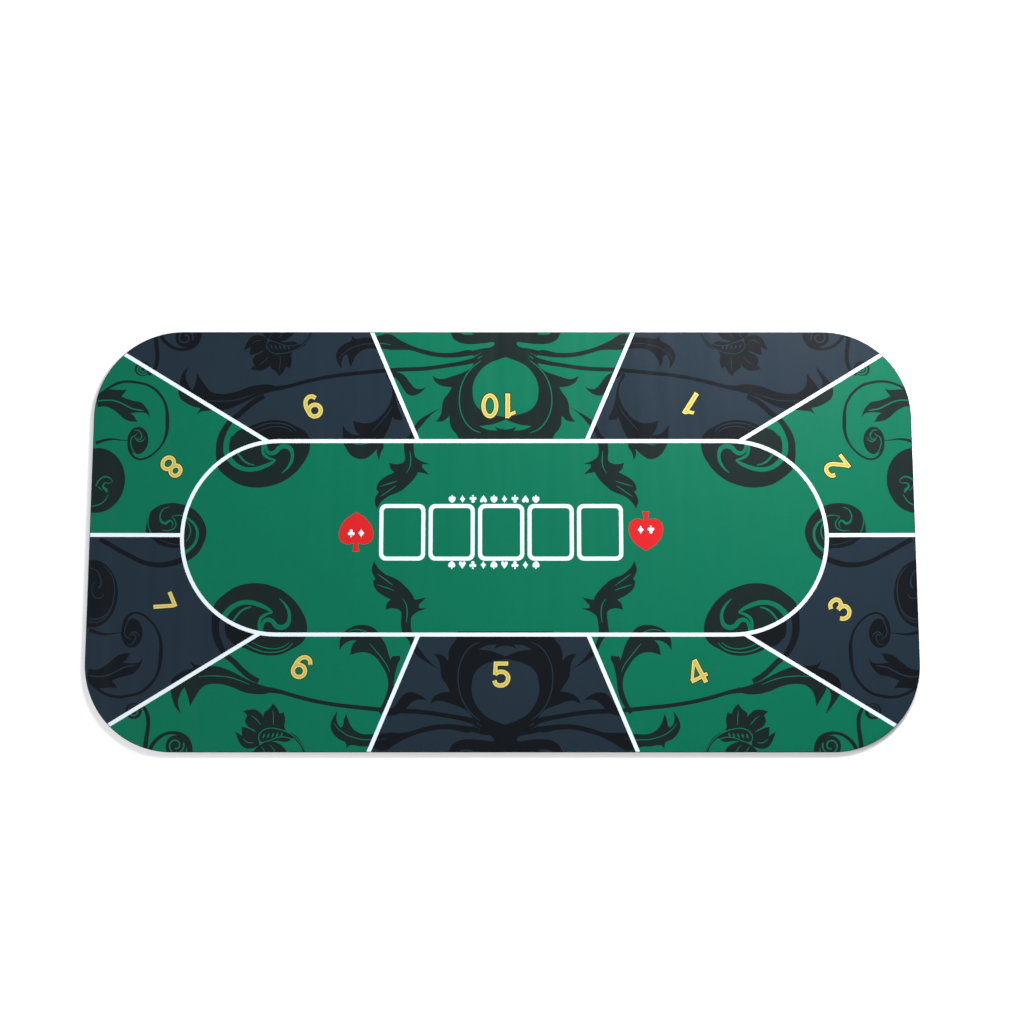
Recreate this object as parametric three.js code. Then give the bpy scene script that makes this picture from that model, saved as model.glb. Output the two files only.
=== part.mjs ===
// Folding poker table top: four stiff panels and a narrow spine under one printed cloth.
// Millimetres, +Z up. The long side runs along X, and Z = 0 is the underside of the rubber.
import * as THREE from 'three';

// ---- driving dimensions, mm ----
const LENGTH = 1200;          // unfolded, along X
const WIDTH = 615;            // along Y
const CORNER_RADIUS = 128;    // the four outer corners
const CORNER_STEPS = 24;      // facets in each quarter turn

const RUBBER = 1.0;           // anti-slip backing
const BOARD = 3.0;            // stiffener board, and the rim around it
const FOAM = 2.0;             // soft layer under the cloth
const CLOTH = 0.5;            // printed playing face

const SPINE = 15;             // distance between the two centre fold lines
const QUARTER_FOLD = 305.5;   // distance of each quarter fold line from the centre
const FOLD_GAP = 0.3;         // slot between neighbouring panels below the cloth's fold line
const RIM = 8;                // width of the rim round each board
const SPINE_RIM = 3;          // width of the rim at the two ends of the spine's slat

// ---- layers, from the table up ----
const Z_RUBBER = 0;
const Z_BOARD = Z_RUBBER + RUBBER;
const Z_FOAM = Z_BOARD + BOARD;
const Z_CLOTH = Z_FOAM + FOAM;

const FINISH = {
  cloth: { color: 0x12785a, roughness: 0.92 },
  foam: { color: 0x17191b, roughness: 0.95 },
  rim: { color: 0x101112, roughness: 0.8 },
  board: { color: 0x9a7b56, roughness: 0.85 },
  slat: { color: 0x9a7b56, roughness: 0.85 },
  backing: { color: 0x0c0d0e, roughness: 0.88 },
};

// A quarter turn about (cx, cy), from one angle to the next in degrees.
function corner(path, cx, cy, radius, from) {
  for (let i = 0; i <= CORNER_STEPS; i += 1) {
    const a = THREE.MathUtils.degToRad(from + (90 * i) / CORNER_STEPS);
    path.push(new THREE.Vector2(cx + radius * Math.cos(a), cy + radius * Math.sin(a)));
  }
}

// The plan of a panel between x0 and x1. `round` says which end has rounded corners:
// -1 the left, +1 the right, 0 neither. `inset` shrinks it on every side.
function plan(x0, x1, round, inset = 0) {
  const left = x0 + inset;
  const right = x1 - inset;
  const top = WIDTH / 2 - inset;
  const r = CORNER_RADIUS - inset;
  const path = [];
  if (round < 0) {
    corner(path, left + r, -top + r, r, 180);
  } else {
    path.push(new THREE.Vector2(left, -top));
  }
  if (round > 0) {
    corner(path, right - r, -top + r, r, 270);
    corner(path, right - r, top - r, r, 0);
  } else {
    path.push(new THREE.Vector2(right, -top), new THREE.Vector2(right, top));
  }
  if (round < 0) {
    corner(path, left + r, top - r, r, 90);
  } else {
    path.push(new THREE.Vector2(left, top));
  }
  return path;
}

function layer(name, kind, outline, hole, z, height) {
  const shape = new THREE.Shape(outline);
  if (hole) shape.holes.push(new THREE.Path([...hole].reverse()));
  const geometry = new THREE.ExtrudeGeometry(shape, {
    depth: height, bevelEnabled: false, curveSegments: 1, steps: 1,
  });
  geometry.translate(0, 0, z);
  const material = new THREE.MeshStandardMaterial({ metalness: 0, ...FINISH[kind] });
  material.name = name;
  const mesh = new THREE.Mesh(geometry, material);
  mesh.name = name;
  return mesh;
}

const half = FOLD_GAP / 2;
const PANELS = [
  { name: 'outer_left', x0: -LENGTH / 2, x1: -QUARTER_FOLD - half, round: -1 },
  { name: 'inner_left', x0: -QUARTER_FOLD + half, x1: -SPINE / 2 - half, round: 0 },
  { name: 'inner_right', x0: SPINE / 2 + half, x1: QUARTER_FOLD - half, round: 0 },
  { name: 'outer_right', x0: QUARTER_FOLD + half, x1: LENGTH / 2, round: 1 },
];

const top = new THREE.Group();
top.name = 'folding_poker_table_top';

for (const { name, x0, x1, round } of PANELS) {
  const outline = plan(x0, x1, round);
  const pocket = plan(x0, x1, round, RIM);
  top.add(
    layer(`${name}_backing`, 'backing', outline, null, Z_RUBBER, RUBBER),
    layer(`${name}_rim`, 'rim', outline, pocket, Z_BOARD, BOARD),
    layer(`${name}_board`, 'board', pocket, null, Z_BOARD, BOARD),
    layer(`${name}_foam`, 'foam', outline, null, Z_FOAM, FOAM),
    layer(`${name}_cloth`, 'cloth', outline, null, Z_CLOTH, CLOTH),
  );
}

{
  const x0 = -SPINE / 2 + half;
  const x1 = SPINE / 2 - half;
  const outline = plan(x0, x1, 0);
  const pocket = plan(x0, x1, 0, SPINE_RIM);
  top.add(
    layer('spine_backing', 'backing', outline, null, Z_RUBBER, RUBBER),
    layer('spine_rim', 'rim', outline, pocket, Z_BOARD, BOARD),
    layer('spine_slat', 'slat', pocket, null, Z_BOARD, BOARD),
    layer('spine_foam', 'foam', outline, null, Z_FOAM, FOAM),
    layer('spine_cloth', 'cloth', outline, null, Z_CLOTH, CLOTH),
  );
}

export default top;
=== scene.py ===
"""Folding poker table top: five padded panels under one printed cloth, which is also their hinge.
Everything is in metres in the CAD frame. The artwork is drawn in millimetres and scaled once."""

import math

import bpy
import numpy as np
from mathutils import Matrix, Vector
from mathutils.geometry import delaunay_2d_cdt


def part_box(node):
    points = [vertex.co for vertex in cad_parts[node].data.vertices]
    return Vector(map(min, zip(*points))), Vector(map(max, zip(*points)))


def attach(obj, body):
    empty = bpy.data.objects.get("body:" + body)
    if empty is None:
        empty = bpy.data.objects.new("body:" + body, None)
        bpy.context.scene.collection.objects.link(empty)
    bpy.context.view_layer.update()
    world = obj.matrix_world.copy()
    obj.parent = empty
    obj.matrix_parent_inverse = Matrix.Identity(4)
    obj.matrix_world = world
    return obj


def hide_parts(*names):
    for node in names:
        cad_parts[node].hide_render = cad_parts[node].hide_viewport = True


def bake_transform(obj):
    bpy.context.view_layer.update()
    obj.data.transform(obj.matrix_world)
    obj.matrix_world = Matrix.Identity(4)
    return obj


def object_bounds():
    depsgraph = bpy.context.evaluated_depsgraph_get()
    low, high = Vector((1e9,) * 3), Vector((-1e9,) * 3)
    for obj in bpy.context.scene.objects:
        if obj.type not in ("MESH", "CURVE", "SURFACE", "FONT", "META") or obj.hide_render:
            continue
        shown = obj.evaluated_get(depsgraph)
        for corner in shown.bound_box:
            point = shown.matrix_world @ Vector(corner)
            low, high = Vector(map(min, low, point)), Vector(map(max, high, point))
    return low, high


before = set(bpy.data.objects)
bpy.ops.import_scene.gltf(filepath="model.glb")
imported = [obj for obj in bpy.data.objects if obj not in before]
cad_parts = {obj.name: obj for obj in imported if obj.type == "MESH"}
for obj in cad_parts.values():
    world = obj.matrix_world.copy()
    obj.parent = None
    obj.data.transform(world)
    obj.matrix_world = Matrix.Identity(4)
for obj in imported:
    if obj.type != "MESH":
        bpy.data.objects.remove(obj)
cad_low, cad_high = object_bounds()
MM = 0.001

# ---------------------------------------------------------------- camera
TILT = math.radians(8.2)  # the photograph looks down, a little from the near side
DISTANCE = 2.360
LOOK_OFFSET = (0.0138, 0.0386)  # the frame's middle, from the middle of the table top
FOCAL_PIXELS = 1621
FRAME_PIXELS = 1024
SENSOR = 36.0

centre = (cad_low + cad_high) / 2
look_at = Vector((centre.x + LOOK_OFFSET[0], centre.y + LOOK_OFFSET[1], cad_high.z))
forward = Vector((0, math.sin(TILT), -math.cos(TILT)))
camera_data = bpy.data.cameras.new("camera")
camera_data.sensor_width = SENSOR
camera_data.lens = FOCAL_PIXELS / FRAME_PIXELS * SENSOR
camera = bpy.data.objects.new("camera", camera_data)
camera.location = look_at - forward * DISTANCE
camera.rotation_euler = forward.to_track_quat("-Z", "Y").to_euler()
bpy.context.collection.objects.link(camera)
bpy.context.scene.camera = camera
bpy.context.scene.view_settings.view_transform = "Standard"

# ---------------------------------------------------------------- sizes, from the CAD frame
BODIES = ["outer_left", "inner_left", "spine", "inner_right", "outer_right"]
CLOTH_LOW, CLOTH_TOP = (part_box("inner_left_cloth")[i].z for i in (0, 1))
FOAM_LOW, FOAM_TOP = (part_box("inner_left_foam")[i].z for i in (0, 1))
RUBBER_LOW, RUBBER_TOP = (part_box("inner_left_backing")[i].z for i in (0, 1))
HALF_LENGTH = (cad_high.x - cad_low.x) / 2 / MM
HALF_WIDTH = (cad_high.y - cad_low.y) / 2 / MM
CORNER_RADIUS = 128.0
QUARTER_FOLD = -(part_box("outer_left_board")[1].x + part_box("inner_left_board")[0].x) / 2 / MM
CENTRE_FOLD = -(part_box("inner_left_board")[1].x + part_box("spine_slat")[0].x) / 2 / MM
QUARTER_CREASE = 2.2  # half the width of the cloth that bends, at each kind of fold
CENTRE_CREASE = 2.0
CREASE_COLUMNS = 8
EDGE_ROLL = 1.6  # the cloth's cut edge turns down over this width
EDGE_DROP = 0.34
DARK_EDGE = 0.9  # width of the dark band painted on the cloth's top along its outline


def slab_distance(x, y):
    """Distance inside the rounded outline, in mm; negative outside it."""
    qx = abs(x) - (HALF_LENGTH - CORNER_RADIUS)
    qy = abs(y) - (HALF_WIDTH - CORNER_RADIUS)
    outside = math.hypot(max(qx, 0), max(qy, 0)) + min(max(qx, qy), 0)
    return CORNER_RADIUS - outside


def rounded_box(cx, cy, half_x, half_y, r, steps=6):
    """A rectangle with round corners of radius r, anticlockwise, in mm."""
    points = []
    for quarter, (sx, sy) in enumerate([(1, 1), (-1, 1), (-1, -1), (1, -1)]):
        x, y = cx + sx * (half_x - r), cy + sy * (half_y - r)
        for k in range(steps + 1):
            a = math.pi / 2 * (quarter + k / steps)
            points.append((x + r * math.cos(a), y + r * math.sin(a)))
    return points


def rounded_outline(inset):
    """The table top's outline moved inwards, in mm."""
    sides = HALF_LENGTH - inset, HALF_WIDTH - inset
    return rounded_box(0, 0, *sides, CORNER_RADIUS - inset, steps=32)


# ---------------------------------------------------------------- curves for the print
def smooth(points, closed=True, step=3.0, corner=58):
    """A smooth line through the points, with a tip where it turns by more than corner degrees."""
    p = np.array(points, float)
    n = len(p)
    ahead = np.roll(p, -1, 0) - p
    length = np.maximum(np.hypot(ahead[:, 0], ahead[:, 1]), 1e-6)
    behind, before = np.roll(ahead, 1, 0), np.roll(length, 1)
    cosine = (ahead[:, :2] * behind[:, :2]).sum(1) / (length * before)
    sharp = cosine < math.cos(math.radians(corner))
    if not closed:
        sharp[0] = sharp[-1] = True
    length, before = length[:, None], before[:, None]
    slope = (ahead / length * before + behind / before * length) / (length + before)
    length = length[:, 0]
    line = []
    for i in range(n if closed else n - 1):
        j = (i + 1) % n
        a = ahead[i] if sharp[i] else slope[i] * length[i]
        b = ahead[i] if sharp[j] else slope[j] * length[i]
        pieces = max(1, math.ceil(length[i] / step))
        for k in range(pieces):
            t = k / pieces
            h = (2 * t**3 - 3 * t**2 + 1, t**3 - 2 * t**2 + t, 3 * t**2 - 2 * t**3, t**3 - t**2)
            line.append(h[0] * p[i] + h[1] * a + h[2] * p[j] + h[3] * b)
    if not closed:
        line.append(p[-1])
    return np.array(line)


def stroke(points, width=None, step=2.5):
    """The outline of a brush stroke through (x, y, width) points, or (x, y) ones of one width."""
    p = np.array([(*q, width) if width is not None else q for q in points], float)
    line = smooth(p, False, step)
    along = np.gradient(line[:, :2], axis=0)
    along /= np.maximum(np.hypot(along[:, 0], along[:, 1]), 1e-9)[:, None]
    side = np.stack([-along[:, 1], along[:, 0]], 1) * line[:, 2:] / 2
    return np.vstack([line[:, :2] + side, (line[:, :2] - side)[::-1]])


def ellipse(cx, cy, rx, ry, count=28, turn=0.0):
    a = np.arange(count) * 2 * math.pi / count
    x, y, c, s = rx * np.cos(a), ry * np.sin(a), math.cos(turn), math.sin(turn)
    return np.stack([cx + x * c - y * s, cy + x * s + y * c], 1)


SPIRAL_POINTS = 23


def spiral(cx, cy, r0, r1, turns, start, width):
    """A brush stroke that winds in from radius r0 to r1; start is in degrees."""
    points = []
    for t in np.linspace(0, 1, SPIRAL_POINTS):
        a = math.radians(start) + turns * 2 * math.pi * t
        r = r0 + (r1 - r0) * t
        points.append((cx + r * math.cos(a), cy + r * math.sin(a), width))
    return stroke(points)


# ---------------------------------------------------------------- the scroll ornament, one quarter
GROUND, SCROLL, WHITE, OUTLINE, GOLD, FOIL, RED, EDGE = range(8)  # the paints
BOTH, FAR, NEAR = (1, -1), (1,), (-1,)

# Each row: paint, which halves it is in, and its shapes, in mm from the middle of the print. A list
# of (x, y) is an outline, and one of (x, y, width) is a brush stroke. Later shapes are painted over
# earlier ones. A shape with a negative y reaches past the print's middle.
ORNAMENT = [
    # the wreath round the end seats' numbers
    (SCROLL, BOTH,
     [(0, 304), (33, 304), (84, 312), (79, 300), (76, 294), (69, 289), (60, 286), (48, 285.5),
      (35, 286.5), (18, 289), (15.5, 286), (18, 283), (36, 278.5), (50, 275), (45, 262), (50, 250),
      (60, 243), (78, 236.5), (88, 233), (97, 232.5), (106, 237), (103, 229), (93, 222),
      (78, 219.5), (82, 212), (90, 200), (92, 190), (93, 180), (96, 174), (101, 167.5), (90, 168.5),
      (81, 176.5), (80, 163), (77, 156), (72, 150), (68, 143), (68, 136), (0, 136)]),
    (GROUND, BOTH,
     [(0, 265.5), (10, 262), (22, 257), (31, 251), (38, 243), (44, 233), (47.5, 221), (47.5, 209),
      (45, 197), (40, 189), (32, 183), (22, 179), (10, 176), (0, 174.5)],
     [(0, 170.8), (10, 166.5), (20, 163.3), (38, 161), (30, 157), (22, 154.8), (12, 154.2),
      (16, 160), (8, 157), (0, 155.5)],
     [(46, 300.5), (52, 305), (60, 306.5), (69, 306), (63, 301), (55, 300)],
     [(36, 260, 1), (47, 251, 1.6), (56, 240, 1.6), (62, 228, 1.6), (66, 214, 1.6), (67, 200, 1.6),
      (66, 188, 1.6), (62, 175, 1.6), (55, 163, 1.6), (46, 155, 1.6), (36, 151, 1)],
     [(33, 268, 0.6), (42, 262, 1.4), (50, 254, 0.6)],
     [(36, 272, 0.6), (46, 266, 1.2), (54, 259, 0.6)]),
    # the upper stem and its curled leaf
    (SCROLL, BOTH,
     [(50, 276), (75, 272.5), (88, 272), (100, 273), (112, 275.5), (132, 281.5), (152, 291),
      (172, 302), (183, 300), (192, 297), (205, 296.5), (222, 296), (225, 300), (226, 292),
      (237, 286), (244, 279), (248, 268), (246, 260), (238, 247), (239.5, 256), (236, 268),
      (233, 270.5), (230.5, 268), (229, 260), (225.5, 251), (221, 264), (215, 272.5), (206, 278),
      (186, 279), (165, 277), (140, 276.5), (120, 270.5), (100, 266), (75, 265), (50, 268),
      (38, 270)]),
    (GROUND, BOTH,
     [(168, 285, 0.6), (180, 287, 1.2), (192, 287, 1.2), (205, 286.5, 1.2), (215, 284, 1.2),
      (224, 281, 1.2), (232, 276, 1.2), (239, 270, 1), (243, 264, 0.6)]),
    # the long lower stem
    (SCROLL, BOTH,
     [(40, 262, 9), (60, 257, 7), (80, 253.5, 6.2), (120, 248, 6.4), (160, 246.5, 6.2),
      (200, 243, 6), (250, 237.5, 5.6), (275, 233, 5.6), (300, 227, 5.6), (318, 222, 5.8),
      (335, 219, 8)]),
    (SCROLL, FAR,
     [(114, 221), (120, 218), (128, 217), (133, 220), (138, 226), (150, 240), (158, 243),
      (168, 244), (167, 238), (160, 234), (155, 228), (148, 217), (142, 209), (137, 207),
      (130, 208), (124, 211)]),
    (SCROLL, NEAR,
     [(110, 232), (118, 231), (128, 232), (136, 238), (146, 249), (158, 253), (170, 254),
      (168, 247), (160, 243), (153, 235), (146, 226), (138, 221), (130, 221), (120, 225)]),
    # the thin stem down to the sprig inside the oval
    (SCROLL, BOTH,
     [(93, 189), (100, 185.5), (108, 181), (118, 175), (127, 168), (133, 158), (138, 148),
      (147, 138), (147, 132), (133, 132), (132, 142), (127, 155), (120, 163), (113, 172),
      (103, 182)],
     [(133, 136), (133, 125), (131, 115), (125, 110), (110, 104), (121, 103.5), (121, 99),
      (118, 96), (111, 88.5), (117, 90), (127, 92), (130, 86), (135, 79), (142, 72), (150, 65),
      (160, 60), (168, 57), (175, 52), (181, 46), (186, 37.5), (189, 51), (187, 57), (183.5, 63),
      (187, 66), (186, 72), (182, 79), (176, 84), (161, 92), (166, 96), (169, 106), (160, 104),
      (152, 105), (147, 108), (146, 113), (147, 122), (147, 136)]),
    (GROUND, BOTH,
     [(139, 124, 0.6), (138, 115, 1.5), (138, 105, 1.5), (140, 97, 1.2), (144, 91, 0.6)],
     [(157, 79, 0.6), (165, 76, 1.4), (175, 73, 1.2), (181, 71, 0.6)],
     [(158, 72, 0.6), (168, 65, 1.4), (176, 59, 1.2), (181, 56, 0.6)]),
    # the sprout across the oval's long line
    (SCROLL, FAR,
     [(171, 243), (168, 235), (164, 226), (161, 215), (159, 203), (156, 190), (152, 180),
      (149, 174), (150, 170), (161, 171), (163, 176), (165, 170), (168, 160), (172, 151),
      (176, 143), (177, 128), (181, 121), (183.5, 109), (187, 122), (186, 127), (196, 117),
      (203, 112.5), (210, 111.5), (218, 114), (225, 119), (230, 127), (234, 135), (235, 145),
      (236, 163.5), (232, 157), (222, 149), (211, 147.5), (216, 153), (221, 169.5), (215, 167.5),
      (205, 165.5), (195, 166.5), (187, 170.5), (180, 177), (173, 186), (168, 195), (165, 205),
      (164.5, 215), (167, 226), (173, 240)]),
    (SCROLL, NEAR,
     [(176, 252), (168, 240), (161, 226), (158.5, 215), (157.5, 203), (155, 190), (152, 180),
      (149, 174), (150, 170), (161, 171), (163, 176), (165, 170), (168, 160), (172, 151),
      (176, 145), (180, 138), (186, 132), (194, 128), (203, 127), (213, 128.5), (222, 132),
      (230, 138), (235, 147), (236, 163.5), (232, 157), (222, 150), (211, 148.5), (216, 153),
      (221, 169.5), (215, 167.5), (205, 165.5), (195, 166.5), (187, 170.5), (180, 177), (174, 186),
      (169, 195), (166.5, 205), (166.5, 215), (171, 230), (180, 248)]),
    (GROUND, BOTH,
     [(164, 193, 0.5), (168, 184, 1.2), (176, 173, 1.3), (186, 161, 1.2), (193, 153, 0.6)],
     [(193, 140, 0.6), (200, 136, 1.4), (208, 134, 1.4), (215, 134, 1.2), (222, 136, 0.6)]),
    # the great scroll's body, under the diagonal line
    (SCROLL, BOTH,
     [(328, 221), (345, 225), (360, 225), (375, 222), (390, 216), (403, 212.5), (418, 211.5),
      (430, 214), (438, 221), (443, 230), (448, 244), (452, 234), (457, 224), (460, 217),
      (464, 222), (467, 232), (461.5, 254), (469, 246), (475, 236), (480, 224), (481, 213),
      (477, 204), (469, 198), (458, 192.5), (447, 190), (453, 178.5), (446, 184.5), (438, 185.5),
      (425, 186.5), (412, 187), (398, 191), (384, 197), (370, 204), (355, 210), (342, 214),
      (328, 217)]),
    (GROUND, BOTH,
     [(365, 212, 0.6), (380, 206, 1.4), (395, 202, 1.4), (410, 200.5, 1.4), (425, 200.5, 1.2),
      (440, 202, 0.6)]),
    (SCROLL, BOTH,
     [(352, 207, 7), (365, 200.5, 8), (378, 190, 8), (388, 180.5, 8), (400, 171, 8), (407, 161, 9),
      (413, 149, 10), (416, 135, 11), (415, 122, 11), (412, 110, 10), (404, 98, 8)]),
    # the roundel inside the oval's end
    (SCROLL, BOTH,
     [(417, 98), (412, 92), (402, 84), (390, 76), (375, 71), (360, 69.3), (345, 70.5), (332, 74),
      (320, 79), (310, 86), (300, 95), (292, 106), (286, 117), (283, 128), (283, 138), (286, 148),
      (294, 156), (303, 161), (320, 169), (333, 171), (347, 170), (360, 166.5), (373, 161),
      (391, 154), (397, 147), (402, 150), (412, 152), (418, 147), (421, 133), (421.5, 120),
      (420, 108)]),
    (GROUND, BOTH,
     [(323, 91, 1), (315, 99, 3), (309.5, 109, 4.5), (308.5, 119, 5), (312, 128, 6.5),
      (320, 131.5, 7), (328, 129, 7), (333, 123, 6.5), (339, 120.5, 6), (345, 123, 5),
      (348, 129, 5), (349, 136, 5)],
     [(352, 136, 3), (352.5, 127, 4), (350, 119, 4.5), (343, 113.5, 4), (333, 110.5, 2)],
     [(333, 110, 2), (341, 105, 5), (351, 100.5, 6), (363, 97, 6.5), (376, 96.8, 6.5),
      (388, 101, 7), (398, 109, 8), (405, 120, 8.5), (406.5, 133, 8.5), (404, 146, 8.5),
      (397, 158, 9), (386, 168, 9)],
     [(364, 103, 1.5), (372, 105, 2.5), (380, 110, 3), (386, 117, 3), (391, 124, 2)],
     [(303, 153, 1), (310, 160, 1.6), (320, 164.5, 1.6), (333, 166.5, 1.6), (347, 165.5, 1.6),
      (360, 161, 1.6), (372, 155.5, 1)],
     [(308, 152, 0.8), (316, 158, 1.4), (326, 161, 1.4), (338, 161, 1.4), (350, 158, 1.4),
      (362, 153, 0.8)]),
    # the flower at the long edge: petals, stem, pod and its teeth
    (SCROLL, BOTH,
     [(306, 312), (318, 296), (334, 291), (349, 296), (357, 303), (362, 312)],
     [(350, 297), (360, 301), (370, 301), (377, 296), (381, 289), (385, 278), (379, 281),
      (375, 284), (376, 271), (370, 272), (362, 275), (352, 281)],
     [(343, 281), (352, 281), (358, 275), (366, 271), (371, 262), (368, 255), (374, 249),
      (365, 247), (355, 247), (349, 251), (341, 262), (336, 272)],
     [(312, 275), (314, 270), (313, 262), (315, 250), (321, 252), (325, 244), (331, 238),
      (337, 246), (343, 250), (344, 262), (343, 272), (330, 277)],
     [(283, 310, 5), (289, 297, 5), (297, 286, 4.5), (306, 279.5, 4)],
     [(300, 285), (311, 277), (323, 273), (336, 272), (346, 276), (351, 283), (351, 290),
      (346, 293), (338, 292), (325, 290), (310, 291)]),
    (GROUND, BOTH,
     [(281, 310, 1.2), (288, 296.5, 1.4), (299, 284, 1.4), (311, 277, 1.4), (323, 273.5, 1.4),
      (336, 272.5, 1.4), (346, 276.5, 1.4), (351, 284, 1.4), (350, 290, 1.2), (345, 293, 1)],
     [(345, 292.5, 1), (336, 290, 1.4), (325, 285.5, 1.4), (315, 284.5, 1.4), (305, 286.5, 1.4),
      (297, 290.5, 1.2), (290, 299, 1), (287, 310, 1)],
     [(330, 268, 0.6), (330, 258, 1.3), (331, 247, 0.5)],
     [(348, 268, 0.6), (354, 261, 1.3), (362, 255, 0.5)],
     [(358, 293, 0.6), (366, 293, 1.3), (374, 288, 0.5)],
     [(326, 308, 0.8), (330, 301, 1.2), (335, 296, 0.5)],
     [(342, 308, 0.8), (344, 302, 1.2), (347, 298, 0.5)]),
    # the ring and the stem at the corner
    (SCROLL, BOTH,
     [(447, 312, 8), (449, 297, 8.5), (453, 289, 7.5), (462, 283, 6), (474, 281, 4.5),
      (485, 283.5, 4.5), (494, 289, 5), (501, 296, 5.5), (508, 308, 6)],
     [(514, 306, 7), (511.5, 286, 6.5), (509.5, 271, 6), (510.5, 258, 6), (515, 248, 5),
      (522, 241.5, 4)]),
    # the big arc round the side seat's number
    (SCROLL, BOTH,
     [(602, 212, 4), (590, 221, 4), (580, 227, 4), (568, 231, 4), (555, 232, 4), (541, 230, 4),
      (527, 226, 4), (515, 218, 4), (506, 208, 4), (500, 197, 4), (497, 184, 5), (496, 170, 6),
      (496, 156, 5), (499, 143, 4), (504.5, 132.5, 3), (514, 122, 3), (524.5, 115, 3),
      (536, 112.6, 3), (545.5, 117, 3.4), (551.5, 126, 4), (553.5, 138, 4), (551, 150, 4)],
     [(560, 220), (570, 219), (580, 220), (592, 220), (604, 212), (604, 193), (592, 194),
      (581.5, 190), (571, 182.5), (564, 176), (557.5, 172.3), (549, 170.2), (541, 170), (545, 175),
      (547, 179), (553, 183.2), (545, 184), (535, 184), (528, 182.5), (522, 176), (526, 187),
      (532, 195), (538, 200), (548, 202), (558, 205), (568, 209), (564, 214)]),
    (GROUND, BOTH,
     [(533, 187, 1), (540, 188, 2), (550, 190, 2), (560, 195, 2), (570, 200, 2), (580, 203, 2),
      (604, 203, 2)]),
    (SCROLL, BOTH,
     [(555, 141, 1), (564, 141.8, 1.5), (574.5, 143.3, 2.5), (584.5, 143.2, 3.7), (604, 138, 5.6)]),
    # teeth inside the flower's pod
    (GROUND, BOTH, *[ellipse(318 + 6.4 * k, 281.5 + 0.5 * k, 1.2, 3.6, 10, -0.35)
                     for k in range(5)]),
    # the disc in the corner ring, with its two light turns
    (SCROLL, BOTH, ellipse(468, 300, 15.5, 15.5)),
    (GROUND, BOTH, spiral(468.5, 299, 12.5, 4.0, -1.35, 200, 2.1)),
    # the spiral at the end of the corner stem
    (SCROLL, BOTH, ellipse(531.5, 251.5, 12.3, 11.4)),
    (GROUND, BOTH, spiral(531.5, 251.5, 9.3, 3.0, 1.55, 215, 2.2)),
    # the eye of the big arc
    (SCROLL, BOTH, ellipse(539.7, 141.2, 16.1, 21)),
    (GROUND, BOTH,
     [(532, 118, 0.6), (539, 118.4, 1.5), (544.5, 123, 1.5), (549, 131.5, 1.6), (550.5, 140.5, 1.5),
      (548, 147, 1.5), (543, 149.5, 1.1), (541, 153, 0.5)],
     [(546.5, 157, 0.5), (540, 156.9, 1.4), (535.1, 152, 1.6), (533.9, 146.9, 1.6),
      (536.3, 142.7, 1.5), (540, 143, 1.2), (539.6, 146.3, 0.6)],
     [(528.6, 146.2, 0.5), (531.2, 141.8, 1.3), (536.4, 139.6, 1.5), (541.3, 141.9, 1.5),
      (544.3, 147, 0.8)]),
    # the roundel cut by the short edge, on the far half and on the near half
    (SCROLL, FAR, ellipse(600, 80.8, 43.3, 49.4, 44)),
    (GROUND, FAR,
     [(575.6, 78, 0.6), (578.3, 83.1, 1.5), (584.5, 86.3, 2.1), (590.5, 85.5, 2.1), (597, 80.5, 2),
      (601, 72, 1.8)],
     [(576.8, 78, 0.6), (581.8, 76.4, 1.2), (587, 77, 1.6), (590, 73.7, 2.2), (589, 69.5, 3.4),
      (585.3, 66.8, 4), (583.2, 62.5, 2.4)],
     [(581, 60, 0.6), (584.5, 53, 1.5), (590, 47, 1.8), (606, 41, 2)],
     [(591, 65.5, 0.8), (597, 71, 1.5)]),
    (SCROLL, NEAR, ellipse(601, 86, 38.7, 48.3, 44)),
    (GROUND, NEAR,
     [(585.6, 44.8, 0.5), (576.5, 53.1, 1.3), (570.5, 62.6, 1.5), (567.6, 75.6, 1.6),
      (567.8, 89.9, 1.6), (571.2, 104.2, 1.6), (578.5, 115, 1.8), (588.5, 121, 1.8),
      (606, 121.8, 1.8)],
     [(571.1, 107.8, 0.5), (579.7, 119.5, 1.2), (589.6, 125.6, 1.5), (606, 126.5, 1.5)],
     [(606, 49.6, 1.4), (599.4, 50.8, 1.4), (594.2, 53.8, 1.5), (590.2, 60.3, 1.7),
      (587.9, 68.6, 2.4), (589.3, 75.5, 2.8), (592.5, 78, 1.4)],
     [(597.6, 68.7, 0.8), (601.2, 75.9, 1.2), (601.5, 83.1, 1.4), (598.9, 89.4, 1.5),
      (591.8, 92.3, 1.5), (586.1, 90.7, 1.5), (583.1, 86.5, 0.6)]),
    # the roundel on the side seats' line: its stem comes up round it from the near side
    (SCROLL, FAR,
     [(521, -2), (521.8, 16.2), (516.6, 32.8), (505.3, 41.8), (486.3, 46.3), (468.4, 44.3),
      (451.6, 36.7), (438.6, 22.6), (432.5, 7.4), (433.5, -7.8), (440.5, -20.6), (450, -30.5),
      (462, -33), (470, -21.5), (482, -20.9), (492, -18.9), (502, -15.7), (512, -8)]),
    (GROUND, FAR,
     [(484.4, 26.2, 0.8), (475.5, 28.1, 1.3), (467.2, 27.1, 1.8), (458.8, 22, 3),
      (449.7, 13.7, 3.7), (445.4, 2.3, 3.9), (446.8, -9.2, 4), (452, -18.1, 4.2), (459.5, -25, 5),
      (470, -29, 11), (482, -31, 14)]),
    (SCROLL, FAR,
     [(440, -14, 8), (446, -24.5, 8.4), (456, -33.5, 8.4), (469.5, -39.3, 8.2), (483.7, -44, 8.4),
      (502.7, -46, 7.8), (519.4, -44, 7), (533.6, -39, 6.6), (545.4, -32.7, 6.4), (560, -25.5, 6.6),
      (575, -17, 6.8), (592, -8, 7.2)]),
    (GROUND, FAR,
     [(463.2, 20.1, 0.6), (458, 13.7, 1.5), (455.8, 3.5, 1.7), (457.5, -4.1, 1.5),
      (462.4, -11, 0.8)],
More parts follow.
